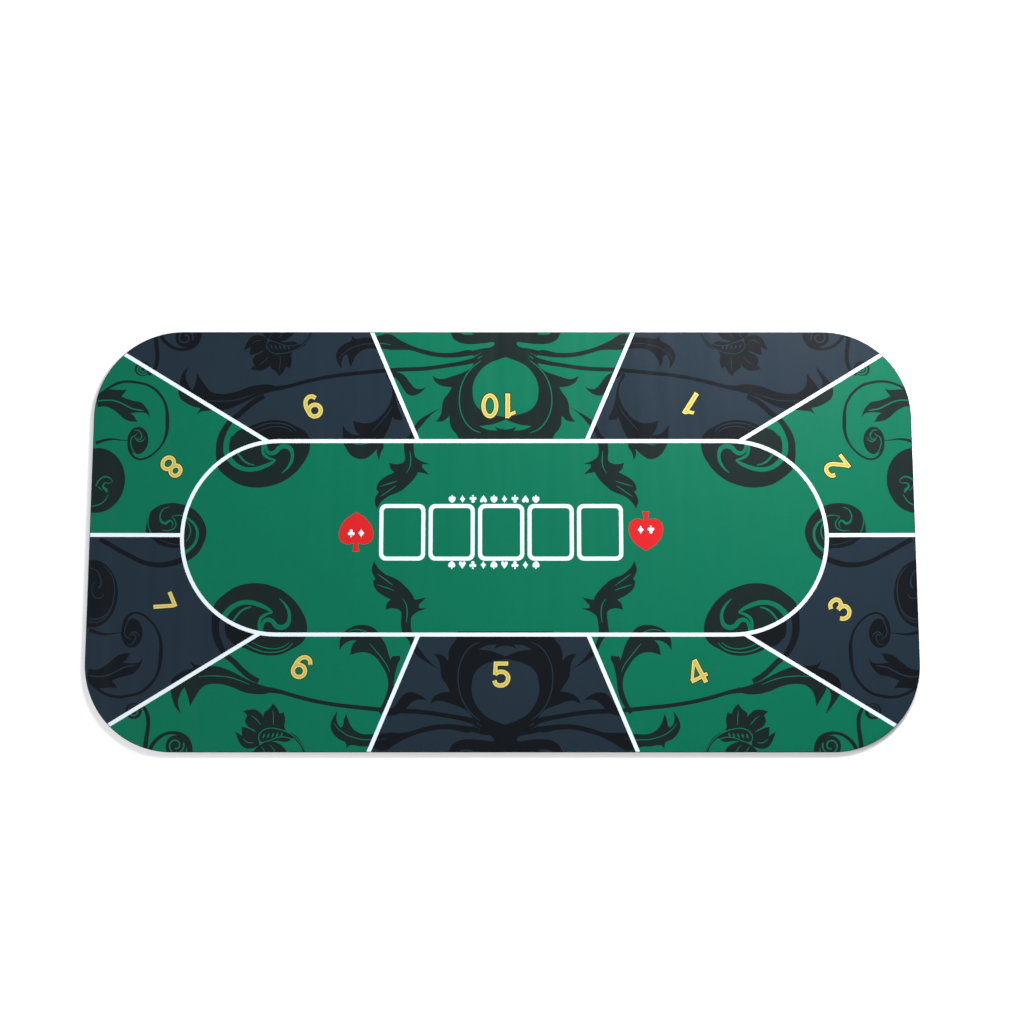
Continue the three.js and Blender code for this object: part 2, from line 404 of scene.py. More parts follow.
     [(488.6, 40.5, 0.5), (496.2, 37.9, 1.3), (501.1, 31.6, 1.7), (501.9, 23.9, 2.1),
      (498.8, 17.5, 3.4), (493, 15.6, 3.6), (488.6, 19.4, 3.2), (485.5, 20.1, 2.2),
      (482.8, 16.2, 1.7), (483.3, 11.8, 1.3), (485.2, 9.2, 0.5)],
     [(484.4, 25.8, 0.8), (480.4, 21.3, 1.3), (477.7, 15, 1.7), (479.4, 9.2, 1.7), (485.1, 6, 1.6),
      (492.7, 5, 1.2), (498.5, 5.8, 0.6)],
     [(517.2, 30.9, 0.5), (519.6, 23.9, 1.1), (519.6, 16.2, 1.4), (517.6, 7.9, 1.4),
      (514.5, 2.2, 1.3)],
     [(503.8, -7.4, 0.5), (494.8, -11.2, 1), (481.9, -14.9, 1.2), (470.5, -16.2, 1.2)]),
]  # fmt: skip


def ornament_rows():
    """ORNAMENT's shapes as outlines, one row each."""
    rows = []
    for paint, halves, *shapes in ORNAMENT:
        for shape in shapes:
            if isinstance(shape, list):
                shape = stroke(shape) if len(shape[0]) == 3 else smooth(shape)
            rows.append((paint, halves, shape))
    return rows


# ---------------------------------------------------------------- the rest of the print
PRINT_MIDDLE = (4.5, 6.4)  # the ornament's middle on the cloth
FAR_STRETCH, NEAR_STRETCH = 0.9785, 1.0215  # how much its two halves are stretched in y
# where the print departs from its own symmetry: the move along the length on the far and on the
# near half, and the distances from the middle, in x and in y, over which it sets in
CORNER_MOVE = ({1: -5.8, -1: -3.5}, (402, 432), (222, 247))
LEAF_MOVE = ({1: 1.3, -1: -1.8}, (230, 200), (142, 118))
# the photograph's lens swells its middle, and the print is laid out as it looks there
SWELL, SWELL_RADIUS = 0.018, 540.0
SWELL_MIDDLE = (LOOK_OFFSET[0] / MM, LOOK_OFFSET[1] / MM)
LINE = 5.7
OVAL_MIDDLE, OVAL_STRAIGHT, OVAL_RADIUS = (2.55, 2.2), 326.0, 140.3
# the seats' lines, for the far and the near half: the x between each pair, where they start on
# the oval and where they meet the edge
RADIALS = {1: (-0.2, (121.4, 142), (192.1, 307.5)), -1: (1.5, (120.4, -137), (191.9, -307.5))}
DIAGONALS = {1: (1.0, (342, 142), (559.5, 273.5)), -1: (-1.1, (345.5, -136.3), (561, -268.3))}
SIDE_LINE_Y = 4.8
RADIAL_PAST, DIAGONAL_PAST = 12, 60  # how far the lines are carried past the edge, which cuts them


def eased(share):
    share = np.clip(share, 0, 1)
    return share * share * (3 - 2 * share)


def on_cloth(points, sx, sy):
    """A quarter of the ornament, mirrored to its place on the cloth."""
    stretch = FAR_STRETCH if sy > 0 else NEAR_STRETCH
    x, y = np.array(points, float).T
    move = 0
    for moves, (x0, x1), (y0, y1) in (CORNER_MOVE, LEAF_MOVE):
        move = move + moves[sy] * eased((x - x0) / (x1 - x0)) * eased((y - y0) / (y1 - y0))
    return np.stack([PRINT_MIDDLE[0] + sx * x + move, PRINT_MIDDLE[1] + sy * stretch * y], 1)


def swollen(points):
    """The points as the photograph's lens shows them."""
    away = np.asarray(points, float) - SWELL_MIDDLE
    share = (away**2).sum(1, keepdims=True) / SWELL_RADIUS**2
    return SWELL_MIDDLE + away * (1 + SWELL * (1 - share))


def oval(radius_change=0.0):
    r = OVAL_RADIUS + radius_change
    return np.array(rounded_box(*OVAL_MIDDLE, OVAL_STRAIGHT + r, r, r, steps=20))


def line_between(a, b, past):
    """A straight printed line, carried past b by some millimetres."""
    a, b = np.array(a, float), np.array(b, float)
    along = (b - a) / np.linalg.norm(b - a)
    b = b + along * past
    side = np.array([-along[1], along[0]]) * LINE / 2
    return np.array([a + side, b + side, b - side, a - side])


def seat_lines():
    out = []
    for sx in (1, -1):
        for table, past in ((RADIALS, RADIAL_PAST), (DIAGONALS, DIAGONAL_PAST)):
            for m, (x0, y0), (x1, y1) in table.values():
                out.append(line_between((m + sx * x0, y0), (m + sx * x1, y1), past))
        start = OVAL_MIDDLE[0] + sx * (OVAL_STRAIGHT + OVAL_RADIUS)
        end = (sx * HALF_LENGTH, SIDE_LINE_Y)
        out.append(line_between((start, SIDE_LINE_Y), end, RADIAL_PAST))
    return out


# five places for the shared cards
SLOT_X, SLOT_Y, SLOT_PITCH, SLOT_SIZE, SLOT_LINE = -1.7, 9.4, 70.7, (66.0, 81.6), 5.8
SLOT_CORNER, SLOT_INNER_CORNER = 9.5, 5


def slots():
    rows = []
    frames = ((WHITE, 0, SLOT_CORNER), (GROUND, SLOT_LINE, SLOT_INNER_CORNER))
    for k in range(-2, 3):
        for paint, inset, corner in frames:
            half = [side / 2 - inset for side in SLOT_SIZE]
            box = rounded_box(SLOT_X + k * SLOT_PITCH, SLOT_Y, *half, corner)
            rows.append((paint, np.array(box)))
    return rows


# suit pips, one unit tall, right half from the top down
PIPS = {
    "spade": [
        (0, 0.5), (0.08, 0.45), (0.19, 0.38), (0.3, 0.28), (0.38, 0.16), (0.425, 0.03),
        (0.43, -0.1), (0.4, -0.21), (0.32, -0.285), (0.21, -0.315), (0.11, -0.3), (0.055, -0.27),
        (0.062, -0.37), (0.085, -0.5)],
    "heart": [
        (0, 0.27), (0.07, 0.38), (0.18, 0.44), (0.31, 0.42), (0.4, 0.32), (0.42, 0.18),
        (0.36, 0.02), (0.25, -0.15), (0.12, -0.31), (0, -0.47)],
    "diamond": [(0, 0.5), (0.15, 0.22), (0.34, 0), (0.15, -0.22), (0, -0.5)],
    "club": [
        (0, 0.48), (0.12, 0.45), (0.2, 0.35), (0.2, 0.22), (0.12, 0.1), (0.24, 0.12), (0.37, 0.08),
        (0.43, -0.04), (0.4, -0.18), (0.28, -0.26), (0.14, -0.23), (0.055, -0.14), (0.07, -0.32),
        (0.12, -0.5)],
}  # fmt: skip
PIP_CORNER = 50  # degrees: a pip keeps its tips where its outline turns by more


def pip(name, x, y, height, turned=False, step=1.2):
    half = np.array(PIPS[name], float)
    first = 1 if half[0][0] == 0 else 0
    last = len(half) - 1 if half[-1][0] == 0 else len(half)
    left = half[first:last][::-1] * (-1, 1)
    whole = smooth(np.vstack([half, left]) * height, True, step, PIP_CORNER)
    return whole * (-1 if turned else 1) + (x, y)


PIP_ROW = dict(first=-72.0, pitch=15.0, count=9, height=11.5)
PIP_ROW_Y = {True: 57.4, False: -37.5}  # the upper row faces the far side
SPADES = ((-209.5, 10.0, False), (205.5, 11.0, True))  # x, y and whether it faces the far side
SPADE_HEIGHT = 57.0
SPADE_PIPS = {"club": (-7.0, 11.5), "diamond": (7.5, 12.5)}  # x from the spade's middle, height
SPADE_PIPS_DROP = 2.0


def pips():
    rows = []
    suits = ["spade", "heart", "club", "diamond"]
    for turned, y in PIP_ROW_Y.items():
        for k in range(PIP_ROW["count"]):
            j = PIP_ROW["count"] - 1 - k if turned else k
            x = PIP_ROW["first"] + k * PIP_ROW["pitch"]
            rows.append((WHITE, pip(suits[j % 4], x, y, PIP_ROW["height"], turned)))
    for x, y, turned in SPADES:
        rows.append((RED, pip("spade", x, y, SPADE_HEIGHT, turned, step=2.0)))
        s = -1 if turned else 1
        for suit, (offset, height) in SPADE_PIPS.items():
            place = (x + s * offset, y - s * SPADE_PIPS_DROP)
            rows.append((WHITE, pip(suit, *place, height, turned)))
    return rows


# the seats' numbers: bold strokes in a box about 37 mm tall
PEN = 6.2
AREA_TRIM = 0.4  # the corners below are drawn for a slightly bolder face than the print's
GLYPHS = {
    "0": [("ring", 0, 0, 9.3, 15.3)],
    "1": [("area", [(3.8, 18.6), (-2.0, 18.6), (-5.5, 14.8), (-12.3, 12.2), (-11.4, 6.4),
                    (-4.0, 9.4), (-4.0, -18.6), (3.8, -18.6)])],
    "2": [("pen", [(-7.6, 9.0), (-5.4, 13.8), (0.4, 16.2), (6.6, 14.8), (9.6, 9.6), (7.6, 2.8),
                   (1.0, -5.0), (-8.6, -15.0)]),
          ("area", [(-12.6, -12.4), (-12.6, -18.6), (12.0, -18.6), (12.0, -12.2), (-6.0, -12.2)])],
    "3": [("pen", [(-9.4, 9.6), (-6.0, 14.4), (0.0, 15.6), (6.0, 13.4), (7.8, 8.4), (5.2, 3.6),
                   (-2.5, 1.6)]),
          ("pen", [(-2.5, 1.6), (5.0, 0.6), (9.2, -5.0), (7.6, -11.6), (1.6, -15.5),
                   (-5.2, -14.4), (-9.8, -9.2)])],
    "4": [("area", [(8.9, 18.6), (1.6, 18.6), (-13.4, -5.4), (-13.4, -11.2), (1.9, -11.2),
                    (1.9, -18.6), (8.9, -18.6), (8.9, -11.2), (13.2, -11.2), (13.2, -4.9),
                    (8.9, -4.9)]),
          ("hole", [(1.9, 9.8), (1.9, -4.9), (-7.0, -4.9)])],
    "5": [("area", [(10.0, 18.6), (-11.0, 18.6), (-12.2, -0.6), (-6.6, -1.6), (-5.4, 4.0),
                    (-5.0, 12.1), (10.0, 12.1)]),
          ("pen", [(-9.0, 0.6), (-3.0, 3.6), (4.0, 3.0), (9.0, -1.8), (9.3, -8.0), (5.2, -13.8),
                   (-2.0, -15.6), (-7.8, -13.6), (-9.8, -8.6)])],
    "6": [("ring", 0.3, -6.6, 8.8, 8.7),
          ("pen", [(9.3, 9.6), (5.6, 14.4), (0.0, 15.6), (-5.4, 12.4), (-8.6, 5.0),
                   (-8.6, -5.5)])],
    "7": [("area", [(-9.3, 18.6), (-9.3, 12.0), (8.0, 12.0), (-1.9, -14.0), (4.3, -16.4),
                    (14.5, 12.2), (14.5, 18.6)])],
    "8": [("ring", 0, 8.3, 7.8, 7.2), ("ring", 0, -7.4, 9.1, 8.1)],
}  # fmt: skip
# number, middle on the cloth, the direction its top points in (degrees), as in the photograph
SEATS = [
    ("1", 273, 198, 237.5), ("2", 486.5, 104.7, 217.5), ("3", 486, -102.5, 135),
    ("4", 276.5, -192, 117), ("5", -1.2, -193.5, 90), ("6", -286, -184, 58),
    ("7", -490.6, -92.4, 24.3), ("8", -482.4, 105.3, -44), ("9", -275.8, 193.2, 297),
    ("10", -6, 193.8, 270)]  # fmt: skip
TEN_OFFSET = {"1": -13.5, "0": 12.2}
OUTLINE_MARGIN = 1.4
FOIL_MARGIN = -1.9  # the deeper middle of each gold stroke


def glyph(digit, grow):
    """(whether it adds, outline) pairs of a digit, in its own millimetres."""
    if digit == "9":
        return [(solid, -o) for solid, o in glyph("6", grow)]
    half = PEN / 2 + grow
    added, cut = [], []
    for kind, *facts in GLYPHS[digit]:
        if kind == "ring":
            x, y, rx, ry = facts
            added.append(ellipse(x, y, rx + half, ry + half, 40))
            cut.append(ellipse(x, y, rx - half, ry - half, 28))
        elif kind == "pen":
            added.append(stroke(facts[0], 2 * half, step=2.0))
        elif kind == "area":
            added.append(grown(facts[0], grow - AREA_TRIM))
        else:
            cut.append(grown(facts[0], AREA_TRIM - grow))
    return [(True, o) for o in added] + [(False, o) for o in cut]


MITRE_LIMIT = 0.35  # keeps the tip of a sharp corner short


def grown(points, by):
    """An outline moved outwards by some millimetres, with mitred corners, clockwise or not."""
    p = np.array(points, float)
    nxt = np.roll(p, -1, 0)
    area = (p[:, 0] * nxt[:, 1] - nxt[:, 0] * p[:, 1]).sum()
    edge = nxt - p
    edge /= np.hypot(edge[:, 0], edge[:, 1])[:, None]
    normal = np.stack([edge[:, 1], -edge[:, 0]], 1) * math.copysign(1, area)
    before = np.roll(normal, 1, 0)
    mitre = normal + before
    mitre /= np.maximum((mitre * normal).sum(1), MITRE_LIMIT)[:, None]
    return p + mitre * by


def seat_numbers():
    """Rows of paint, whether the outline adds to it or cuts a hole in it, and the outline."""
    rows = []
    for number, cx, cy, up in SEATS:
        a = math.radians(up)
        right, top = np.array([math.sin(a), -math.cos(a)]), np.array([math.cos(a), math.sin(a)])
        for digit in number:
            shift = TEN_OFFSET[digit] if len(number) > 1 else 0.0
            for paint, grow in ((OUTLINE, OUTLINE_MARGIN), (GOLD, 0.0), (FOIL, FOIL_MARGIN)):
                for solid, outline in glyph(digit, grow):
                    place = (cx, cy) + (outline[:, :1] + shift) * right + outline[:, 1:] * top
                    rows.append((paint, solid, place))
    return rows


# ---------------------------------------------------------------- outlines to painted triangles
CLOSE = 0.05  # points of an outline nearer than this are one point
CDT_EPSILON = 1e-4
NARROW = 1e-7  # a triangle smaller than this is left out
PAST_EDGE = 5  # how far the folds' columns run past the cloth


def inside(poly, points):
    """Which points the outline goes round, by winding number."""
    low, high = poly.min(0), poly.max(0)
    near = np.nonzero(((points > low) & (points < high)).all(1))[0]
    x, y = points[near, 0][:, None], points[near, 1][:, None]
    a, b = poly, np.roll(poly, -1, 0)
    cross = (b[:, 0] - a[:, 0]) * (y - a[:, 1]) - (x - a[:, 0]) * (b[:, 1] - a[:, 1])
    up = (a[:, 1] <= y) & (b[:, 1] > y) & (cross > 0)
    down = (a[:, 1] > y) & (b[:, 1] <= y) & (cross < 0)
    result = np.zeros(len(points), bool)
    result[near] = (up.sum(1) - down.sum(1)) != 0
    return result


def in_navy(p):
    """Which points lie in a navy seat. The seats' lines cover every border between two grounds."""
    p = 2 * p - swollen(p)  # near enough to undoing the swell
    y = p[:, 1]
    side = np.where(y > SIDE_LINE_Y, 1, -1)

    def past(table):
        value = np.zeros(len(p))
        for half, (m, (x0, y0), (x1, y1)) in table.items():
            here = side == half
            value[here] = np.abs(p[here, 0] - m) - (x0 + (y[here] - y0) * (x1 - x0) / (y1 - y0))
        return value

    middle, end = past(RADIALS) < 0, past(DIAGONALS) > 0
    navy = np.where(side > 0, ~middle & ~end, middle | end)
    return navy & ~inside(oval(), p)


def points_and_edges(outlines):
    """The outlines' points and edges for the triangulation, with the folds' columns."""
    points, edges = [], []
    for outline in outlines:
        first = len(points)
        keep = [outline[0]]
        for q in outline[1:]:
            if np.hypot(*(q - keep[-1])) > CLOSE:
                keep.append(q)
        if len(keep) > 2 and np.hypot(*(keep[0] - keep[-1])) < CLOSE:
            keep.pop()
        points += [Vector(q) for q in keep]
        edges += [(first + i, first + (i + 1) % len(keep)) for i in range(len(keep))]
    for x in fold_columns():
        points += [Vector((x, side * (HALF_WIDTH + PAST_EDGE))) for side in (-1, 1)]
        edges.append((len(points) - 2, len(points) - 1))
    return points, edges


def printed_triangles():
    """Every printed border in one plane triangulation, so the paints meet without gaps or steps."""
    layers = []  # (paint, outline), painted in this order
    for paint, halves, outline in ornament_rows():
        for sy in halves:
            for sx in (1, -1):
                layers.append((paint, swollen(on_cloth(outline, sx, sy))))
    numbers = [(value, solid, swollen(outline)) for value, solid, outline in seat_numbers()]
    flat = [(value, swollen(outline)) for value, outline in slots() + pips()]
    ring = (swollen(oval(LINE / 2)), swollen(oval(-LINE / 2)))
    lines = [swollen(line) for line in seat_lines()]
    rims = [np.array(rounded_outline(i)) for i in (0.0, DARK_EDGE, EDGE_ROLL)]

    painted = [row[-1] for row in layers + numbers + flat]
    points, edges = points_and_edges([*painted, *ring, *lines, *rims])
    found = delaunay_2d_cdt(points, edges, [], 0, CDT_EPSILON)
    at = np.array([tuple(v) for v in found[0]])
    tri = np.array([f for f in found[2] if len(f) == 3])
    corner = at[tri]
    turn = np.cross(corner[:, 1] - corner[:, 0], corner[:, 2] - corner[:, 0])
    tri[turn < 0] = tri[turn < 0][:, ::-1]
    tri = tri[np.abs(turn) > NARROW]
    middle = at[tri].mean(1)
    on = inside(rims[0], middle)
    tri, middle = tri[on], middle[on]

    paint = np.full(len(tri), GROUND)
    for value, outline in layers:
        paint[inside(outline, middle)] = value
    under = paint.copy()
    for value, outline in flat:
        hit = inside(outline, middle)
        paint[hit] = under[hit] if value == GROUND else value
    for line in lines:
        paint[inside(line, middle)] = WHITE
    paint[inside(ring[0], middle) & ~inside(ring[1], middle)] = WHITE
    for value in (OUTLINE, GOLD, FOIL):
        covered = np.zeros(len(tri), bool)
        for paint_of, solid, outline in numbers:
            if paint_of == value:
                covered[inside(outline, middle)] = solid
        paint[covered] = value
    # a dark band painted on the cloth's top along its outline, DARK_EDGE wide
    paint[~inside(rims[1], middle)] = EDGE
    return at, tri, paint, in_navy(middle), middle


# each fold: its x, half the width that bends, where its own strip of cloth ends, and its two bodies
STRIP = 5.3
SPINE_SHARE = CENTRE_FOLD - STRIP  # how much of the strip lies on the spine's side
FOLDS = [
    (-QUARTER_FOLD, QUARTER_CREASE, (-STRIP, STRIP), "outer_left", "inner_left"),
    (-CENTRE_FOLD, CENTRE_CREASE, (SPINE_SHARE - 2 * STRIP, SPINE_SHARE), "inner_left", "spine"),
    (CENTRE_FOLD, CENTRE_CREASE, (-SPINE_SHARE, 2 * STRIP - SPINE_SHARE), "spine", "inner_right"),
    (QUARTER_FOLD, QUARTER_CREASE, (-STRIP, STRIP), "inner_right", "outer_right"),
]
STRIP_ENDS = [x + side for x, _, strip, *_ in FOLDS for side in strip]


def fold_columns():
    """The x of every column of points that the folds need."""
    bends = [
        x + half * (2 * k / CREASE_COLUMNS - 1)
        for x, half, *_ in FOLDS
        for k in range(CREASE_COLUMNS + 1)
    ]
    return bends + STRIP_ENDS


# ---------------------------------------------------------------- materials
MIX_A, MIX_B, MIX_RESULT = 6, 7, 2  # the colour sockets of a Mix node


class Nodes:
    """A few shorthands for building a node material."""

    def __init__(self, name):
        self.material = bpy.data.materials.new(name)
        self.material.use_nodes = True
        self.tree = self.material.node_tree
        self.shader = self.tree.nodes["Principled BSDF"]
        self.where = self.node("ShaderNodeTexCoord").outputs["Object"]

    def node(self, kind, **facts):
        n = self.tree.nodes.new(kind)
        for key, value in facts.items():
            setattr(n, key, value)
        return n

    def feed(self, socket, value):
        if hasattr(value, "is_output"):
            self.tree.links.new(value, socket)
        else:
            socket.default_value = value

    def maths(self, operation, a, b, clamp=False):
        n = self.node("ShaderNodeMath", operation=operation, use_clamp=clamp)
        self.feed(n.inputs[0], a)
        self.feed(n.inputs[1], b)
        return n.outputs[0]

    def times(self, a, b):
        return self.maths("MULTIPLY", a, b)

    def noise(self, scale, detail, stretch=(1, 1, 1), rough=0.5):
        m = self.node("ShaderNodeMapping")
        m.inputs["Scale"].default_value = stretch
        self.feed(m.inputs["Vector"], self.where)
        n = self.node("ShaderNodeTexNoise")
        n.inputs["Scale"].default_value = scale
        n.inputs["Detail"].default_value = detail
        n.inputs["Roughness"].default_value = rough
        self.feed(n.inputs["Vector"], m.outputs[0])
        return n.outputs["Fac"]

    def bands(self, pitch, direction):
        n = self.node("ShaderNodeTexWave", wave_type="BANDS", bands_direction=direction)
        n.inputs["Scale"].default_value = math.pi / 10 / pitch
        self.feed(n.inputs["Vector"], self.where)
        return n.outputs["Fac"]

    def range(self, value, low, high):
        n = self.node("ShaderNodeMapRange")
        self.feed(n.inputs["Value"], value)
        n.inputs["To Min"].default_value = low
        n.inputs["To Max"].default_value = high
        return n.outputs[0]

    def mix(self, factor, a, b, blend="MIX"):
        n = self.node("ShaderNodeMix", data_type="RGBA", blend_type=blend)
        self.feed(n.inputs["Factor"], factor)
        for i, value in ((MIX_A, a), (MIX_B, b)):
            self.feed(n.inputs[i], (*value, 1) if isinstance(value, tuple) else value)
        return n.outputs[MIX_RESULT]

    def shade(self, colour, light):
        """A colour times a brightness that varies over the surface."""
        return self.mix(1.0, colour, light, "MULTIPLY")

    def bump(self, height, distance, strength, normal=None):
        n = self.node("ShaderNodeBump")
        n.inputs["Strength"].default_value = strength
        n.inputs["Distance"].default_value = distance
        self.feed(n.inputs["Height"], height)
        if normal is not None:
            self.feed(n.inputs["Normal"], normal)
        return n.outputs[0]

    def finish(self, colour, roughness, normal, specular=0.5):
        self.feed(self.shader.inputs["Base Color"], colour)
        self.feed(self.shader.inputs["Roughness"], roughness)
        self.feed(self.shader.inputs["Normal"], normal)
        self.feed(self.shader.inputs["Specular IOR Level"], specular)
        return self.material


def srgb(r, g, b):
    """A colour given as a screen shows it, 0 to 255, as the shader's linear light."""
    shares = (r / 255, g / 255, b / 255)
    return tuple(c / 12.92 if c <= 0.04045 else ((c + 0.055) / 1.055) ** 2.4 for c in shares)


YARN = 0.00085  # the weave's pitch, in metres
WEAVE, SLUB, PATCH = 0.10, 0.10, 0.05  # how much the painted shade and highlight of the weave, the uneven threads and the dye patches change the brightness
CLOTH_ROUGH = (0.52, 0.38)  # the roughness between the yarns and on them


def printed_cloth(name, colour):
    """Dye-printed woven polyester: crossing yarns with painted shade between them and painted
    highlight on them, uneven threads, slow changes in the dye.
    """
    n = Nodes(name)
    warp, weft = n.bands(YARN, "X"), n.bands(YARN, "Y")
    wide_warp, wide_weft = n.bands(YARN * 2, "X"), n.bands(YARN * 2, "Y")
    over = n.times(wide_warp, wide_weft)
    under = n.times(n.maths("SUBTRACT", 1.0, wide_warp), n.maths("SUBTRACT", 1.0, wide_weft))
    checks = n.maths("ADD", over, under, clamp=True)
    yarn = n.maths("ADD", n.times(checks, 0.6), n.times(n.times(warp, weft), 0.4))
    threads = n.maths("ADD", n.noise(900, 2, (1, 0.05, 1)), n.noise(900, 2, (0.05, 1, 1)))
    uneven = n.times(
        n.range(n.times(threads, 0.5), 1 - SLUB, 1 + SLUB),
        n.range(n.noise(3.2, 3), 1 - PATCH, 1 + PATCH),
    )
    # painted shade and highlight: the weave is darker between the yarns and lighter on them; the
    # threads and patches vary the tone
    light = n.times(n.range(yarn, 1 - WEAVE, 1 + WEAVE), uneven)
    waves = n.noise(1.0, 2, (17, 1.6, 1), 0.45)
    normal = n.bump(waves, 0.0050, 1.0)
    normal = n.bump(yarn, 0.00012, 0.55, normal)
    normal = n.bump(threads, 0.00010, 0.5, normal)
    return n.finish(n.shade(colour, light), n.range(yarn, *CLOTH_ROUGH), normal, specular=0.08)


CLOTHS = {
    "green": srgb(5, 98, 72),
    "navy": srgb(28, 41, 52),
    "scroll_green": srgb(19, 31, 31),
    "scroll_navy": srgb(12, 16, 21),
    "white": srgb(210, 221, 228),
    "outline": srgb(42, 37, 20),
    "gold": srgb(194, 184, 106),
    "foil": srgb(182, 158, 72),
    "red": srgb(190, 30, 33),
    # dark cloth for the cut sides and for the band painted along the top's outline
    "dark_border": srgb(14, 18, 18),
    "wrong_side": srgb(62, 66, 66),
}
CLOTH_MATERIALS = [printed_cloth("cloth_" + name, colour) for name, colour in CLOTHS.items()]
CLOTH_ORDER = list(CLOTHS)


def foam_material():
    """Closed-cell foam: small round cells of uneven size, each with painted shade in its hollow
    middle, paler where the skin is worn.
    """
    n = Nodes("foam_cells")
    cells = n.node("ShaderNodeTexVoronoi", feature="F1")
    cells.inputs["Scale"].default_value = 1500
    n.feed(cells.inputs["Vector"], n.where)
    pores = cells.outputs["Distance"]
    tone = n.mix(n.noise(40, 3), srgb(52, 55, 58), srgb(74, 77, 80))
    # painted shade: each cell is darker towards its hollow middle, where the bump is lowest
    tone = n.shade(tone, n.range(pores, 0.75, 1.12))
    normal = n.bump(pores, 0.00025, 0.7)
    return n.finish(tone, n.range(n.noise(200, 2), 0.82, 0.95), normal, specular=0.3)


def rubber_material():
    """Natural rubber: matt, faintly mottled, with a fine moulded grain and dust in the hollows."""
    n = Nodes("rubber_underside")
    tone = n.mix(n.noise(9, 4), srgb(29, 30, 32), srgb(42, 43, 45))
    dust = n.times(n.noise(55, 5, rough=0.7), n.noise(3, 2))
    tone = n.mix(n.range(dust, -0.25, 0.75), tone, srgb(78, 77, 74))
    grain = n.noise(2600, 3)
    normal = n.bump(grain, 0.00012, 0.6)
    return n.finish(tone, n.range(n.noise(30, 4), 0.62, 0.82), normal, specular=0.4)


def rim_material():
    """Black moulded plastic with a spark-eroded grain and a few paler scuffs."""
    n = Nodes("rim_plastic")
    scuff = n.maths("GREATER_THAN", n.noise(90, 6, (1, 1, 3), 0.75), 0.63)
    tone = n.mix(n.times(scuff, 0.35), srgb(20, 21, 23), srgb(70, 72, 76))
    tone = n.shade(tone, n.range(n.noise(12, 3), 0.85, 1.15))
    normal = n.bump(n.noise(3200, 2), 0.00008, 0.8)
    return n.finish(tone, n.range(n.noise(60, 4), 0.36, 0.56), normal)


def board_material():
    """Compressed fibre board: short pale fibres in a brown ground."""
    n = Nodes("fibre_board")
    fibre = n.noise(420, 4, (1, 0.12, 1), 0.65)
    cross = n.noise(420, 4, (0.12, 1, 1), 0.65)
    both = n.maths("ADD", fibre, cross)
    tone = n.mix(n.times(both, 0.5), srgb(92, 66, 44), srgb(158, 124, 88))
    normal = n.bump(both, 0.00010, 0.6)
    return n.finish(tone, n.range(fibre, 0.65, 0.85), normal)


# ---------------------------------------------------------------- meshes
def link(name, vertices, faces, materials, slots=None):
    mesh = bpy.data.meshes.new(name)
    mesh.from_pydata([tuple(v) for v in vertices], [], [tuple(f) for f in faces])
    for m in materials:
        mesh.materials.append(m)
    if slots is not None:
        mesh.polygons.foreach_set("material_index", np.array(slots, np.int32))
    mesh.validate()
    mesh.update()
    obj = bpy.data.objects.new(name, mesh)
    bpy.context.collection.objects.link(obj)
    return obj


# the cloth of each paint, GROUND to EDGE, in a green seat and in a navy one
PAINTED = [("green", "navy"), ("scroll_green", "scroll_navy")]
PAINTED += [(cloth, cloth) for cloth in ("white", "outline", "gold", "foil", "red", "dark_border")]
SLOT_OF = np.array([[CLOTH_ORDER.index(cloth) for cloth in pair] for pair in PAINTED])
SMOOTH_ANGLE = math.radians(40)


def cloth_piece(name, low_x, high_x, printed, bends=False):
    """The printed cloth between two x, as a closed sheet; its flat size and its area, in metres."""
    at, tri, paint, navy, middle = printed
    mine = (middle[:, 0] > low_x) & (middle[:, 0] < high_x)
    used, faces = np.unique(tri[mine], return_inverse=True)
    faces = faces.reshape(-1, 3)
    xy = at[used]
    from_edge = np.array([slab_distance(x, y) for x, y in xy])
    roll = np.clip(1 - from_edge / EDGE_ROLL, 0, 1)
    top = CLOTH_TOP - EDGE_DROP * MM * roll**2
    count = len(xy)
    vertices = np.vstack([np.column_stack([xy * MM, z]) for z in (top, np.full(count, CLOTH_LOW))])
    open_edges = {}
    for a, b, c in faces.tolist():
        for edge in ((a, b), (b, c), (c, a)):
            if open_edges.pop(edge[::-1], None) is None:
                open_edges[edge] = True
    walls = [(b, a, a + count, b + count) for a, b in open_edges]
    all_faces = [*faces, *(faces[:, ::-1] + count), *walls]
    slots = list(SLOT_OF[paint[mine], navy[mine].astype(int)])
    slots += [CLOTH_ORDER.index("wrong_side")] * len(faces)
    slots += [CLOTH_ORDER.index("dark_border")] * len(walls)
    obj = link(name, vertices, all_faces, CLOTH_MATERIALS, slots)
    if bends:
        smooth_flags = [True] * (2 * len(faces)) + [False] * len(walls)
        obj.data.polygons.foreach_set("use_smooth", smooth_flags)
        obj.data.set_sharp_from_angle(angle=SMOOTH_ANGLE)
    corner = at[tri[mine]]
    area = abs(np.cross(corner[:, 1] - corner[:, 0], corner[:, 2] - corner[:, 0])).sum() / 2
    size = (xy.max(0) - xy.min(0)) * MM
    return obj, (float(size[0]), float(size[1])), float(area) * MM * MM


printed = printed_triangles()
cuts = [-HALF_LENGTH - 1, *STRIP_ENDS, HALF_LENGTH + 1]
for i, body in enumerate(BODIES):
    panel, flat, area = cloth_piece("printed_cloth_" + body, cuts[2 * i], cuts[2 * i + 1], printed)
    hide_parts(body + "_cloth")
    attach(panel, body)
for i, (x, half, _, left, right) in enumerate(FOLDS):
    name = f"printed_cloth_crease_{left}_{right}"
    crease, flat, area = cloth_piece(name, cuts[2 * i + 1], cuts[2 * i + 2], printed, True)
    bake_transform(crease)


